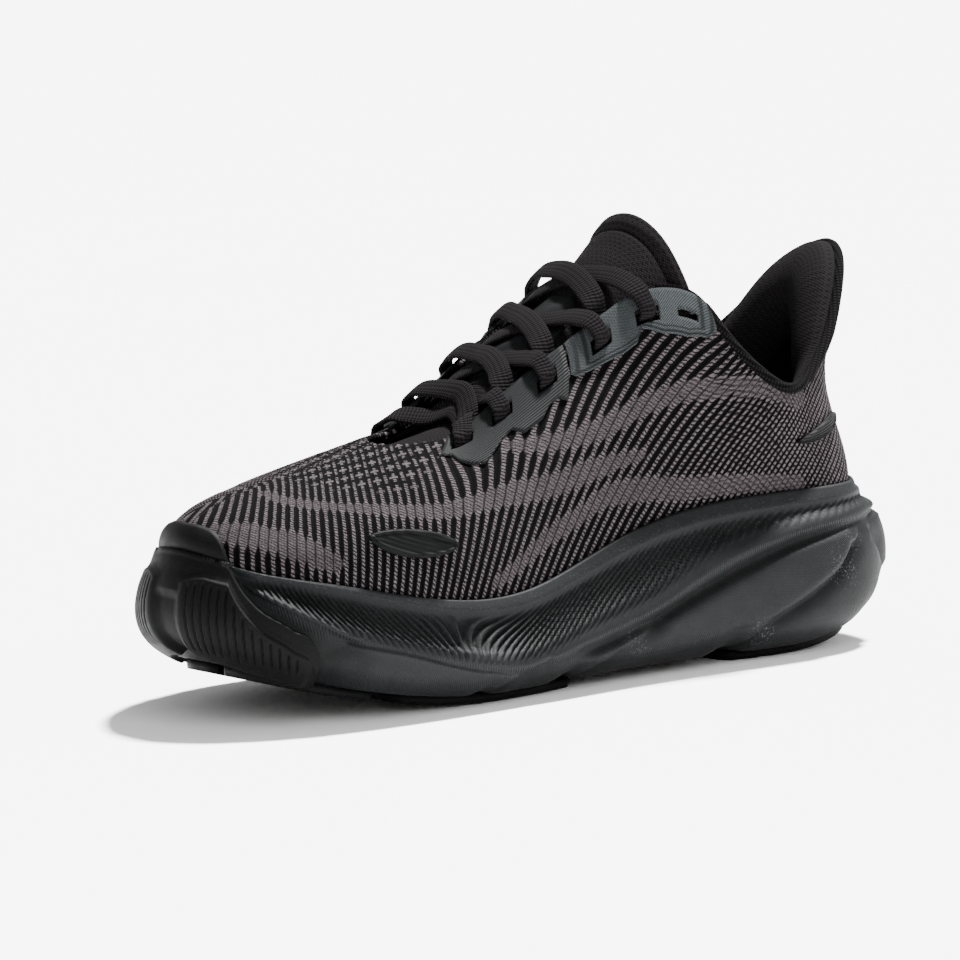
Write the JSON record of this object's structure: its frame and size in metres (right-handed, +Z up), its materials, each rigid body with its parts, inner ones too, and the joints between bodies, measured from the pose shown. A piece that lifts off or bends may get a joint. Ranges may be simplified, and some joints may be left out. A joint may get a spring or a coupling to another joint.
{
  "type": "running shoe",
  "caption": "Right-foot cushioned road running shoe with a knit upper, laced throat, padded collar, flared heel tab and a thick rockered foam sole.",
  "frame": {"origin": "on the ground, under the middle of the shoe's bounding box", "axes": "+Z up, +X towards the toe, +Y towards the medial side of the right foot"},
  "size_m": [0.306, 0.1103, 0.1543],
  "materials": {
    "foam": "matte",
    "rubber": "matte",
    "knit": "matte",
    "film": "satin",
    "woven": "matte",
    "lining": "matte",
    "lace": "matte",
    "padding": "matte",
    "board": "matte",
    "stiffener": "matte",
    "aglet": "gloss"
  },
  "bodies": {
    "shoe": {"midsole": "foam", "pod_forefoot_medial": "rubber", "pod_forefoot_lateral": "rubber", "pod_forefoot_center": "rubber", "pod_toe_medial": "rubber", "pod_toe_lateral": "rubber", "pod_heel_medial": "rubber", "pod_heel_lateral": "rubber", "toe_cap": "rubber", "lasting_board": "board", "upper": "knit", "toe_puff": "stiffener", "heel_counter": "stiffener", "collar_padding": "padding", "collar_lining": "lining", "eyestay_film_medial": "film", "eyestay_film_lateral": "film", "eyestay_woven_medial": "woven", "eyestay_woven_lateral": "woven", "forefoot_patch_medial": "film", "forefoot_patch_lateral": "film", "heel_patch_medial": "film", "heel_patch_lateral": "film", "lace": "lace", "lace_tail_medial": "lace", "lace_tail_lateral": "lace"},
    "tongue": {"tongue_face": "knit", "tongue_foam": "padding", "tongue_lining": "lining", "tongue_overlay": "film"},
    "sockliner": {"sockliner": "lining", "aglet_medial": "aglet", "aglet_lateral": "aglet"}
  },
  "joints": [
    {"name": "tongue_fold", "type": "hinge", "parent": "shoe", "child": "tongue", "pos_m": [0.058, 0.0024, 0.078], "axis": [0, 1, 0], "range_deg": [-6, 0], "stiffness_Nm_per_rad": 1, "springref_deg": 5.73},
    {"name": "sockliner_lift", "type": "hinge", "parent": "shoe", "child": "sockliner", "pos_m": [0.128, 0.0024, 0.039], "axis": [0, 1, 0], "range_deg": [0, 3], "deforming": ["lace_tail_medial", "lace_tail_lateral"]}
  ]
}
